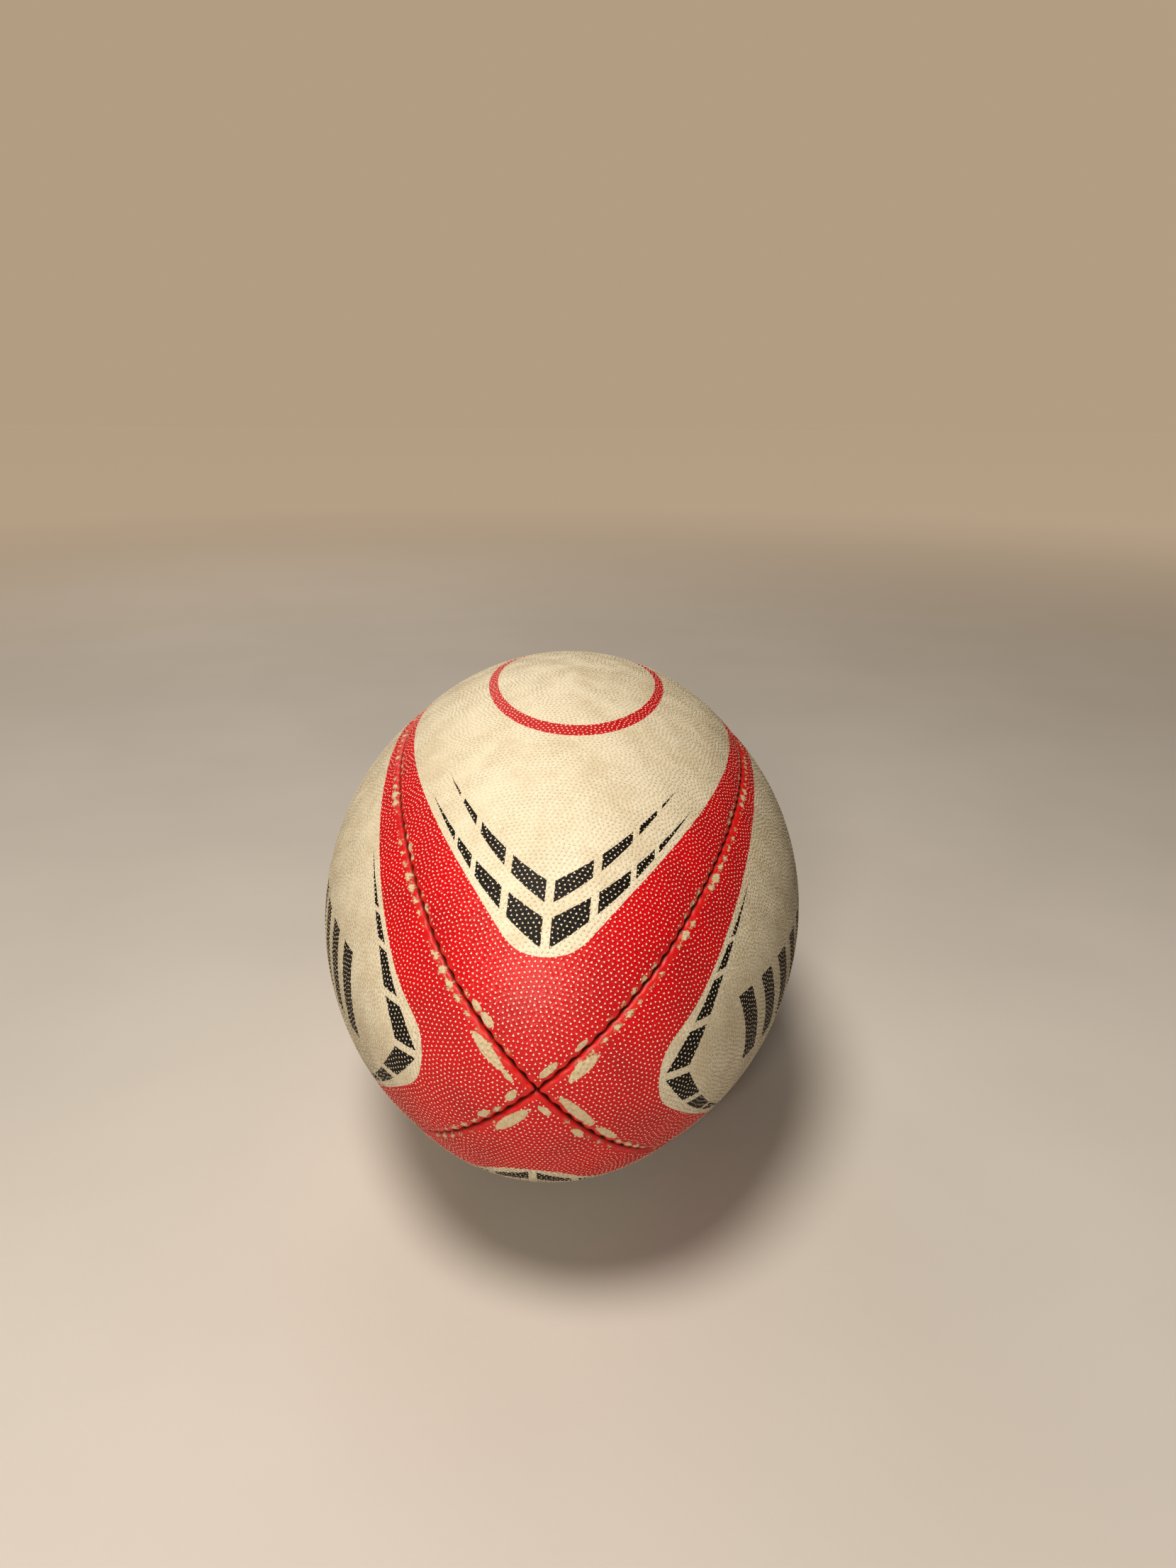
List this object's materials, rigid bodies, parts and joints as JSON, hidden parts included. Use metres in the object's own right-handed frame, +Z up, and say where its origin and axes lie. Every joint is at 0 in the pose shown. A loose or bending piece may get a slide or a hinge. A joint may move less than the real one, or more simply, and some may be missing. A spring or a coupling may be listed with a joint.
{
  "type": "rugby ball",
  "caption": "Oval rugby ball of four stitched, pimpled rubber panels over cloth plies and a bladder, with a removable valve plug.",
  "frame": {"origin": "centre of the ball", "axes": "+Y along the ball's long axis, away from the end shown nearest; +Z up, with the ball lying on its belly"},
  "size_m": [0.19, 0.29, 0.19],
  "materials": {
    "skin_cream": "pimpled, printed, satin",
    "skin_red": "pimpled, printed, satin",
    "polyester_cloth": "woven, rubber soaked",
    "cotton_cloth": "woven, matte",
    "waxed_thread": "twisted, waxed",
    "bladder_rubber": "smooth, slightly sticky",
    "valve_rubber": "satin",
    "plug_rubber": "matte",
    "patch_cloth": "woven, matte"
  },
  "bodies": {
    "ball": {"top_panel_skin": "skin_cream", "right_panel_skin": "skin_red", "bottom_panel_skin": "skin_cream", "left_panel_skin": "skin_red", "top_polyester_ply": "polyester_cloth", "right_polyester_ply": "polyester_cloth", "bottom_polyester_ply": "polyester_cloth", "left_polyester_ply": "polyester_cloth", "top_cotton_ply": "cotton_cloth", "right_cotton_ply": "cotton_cloth", "bottom_cotton_ply": "cotton_cloth", "left_cotton_ply": "cotton_cloth", "upper_left_seam_thread": "waxed_thread", "upper_right_seam_thread": "waxed_thread", "lower_right_seam_thread": "waxed_thread", "lower_left_seam_thread": "waxed_thread", "bladder": "bladder_rubber", "valve_body": "valve_rubber", "valve_patch": "patch_cloth"},
    "plug": {"valve_plug": "plug_rubber"}
  },
  "joints": [
    {"name": "plug_pull", "type": "slide", "parent": "ball", "child": "plug", "axis": [-0.7501, 0, -0.6613], "range_m": [0, 0.025]}
  ]
}
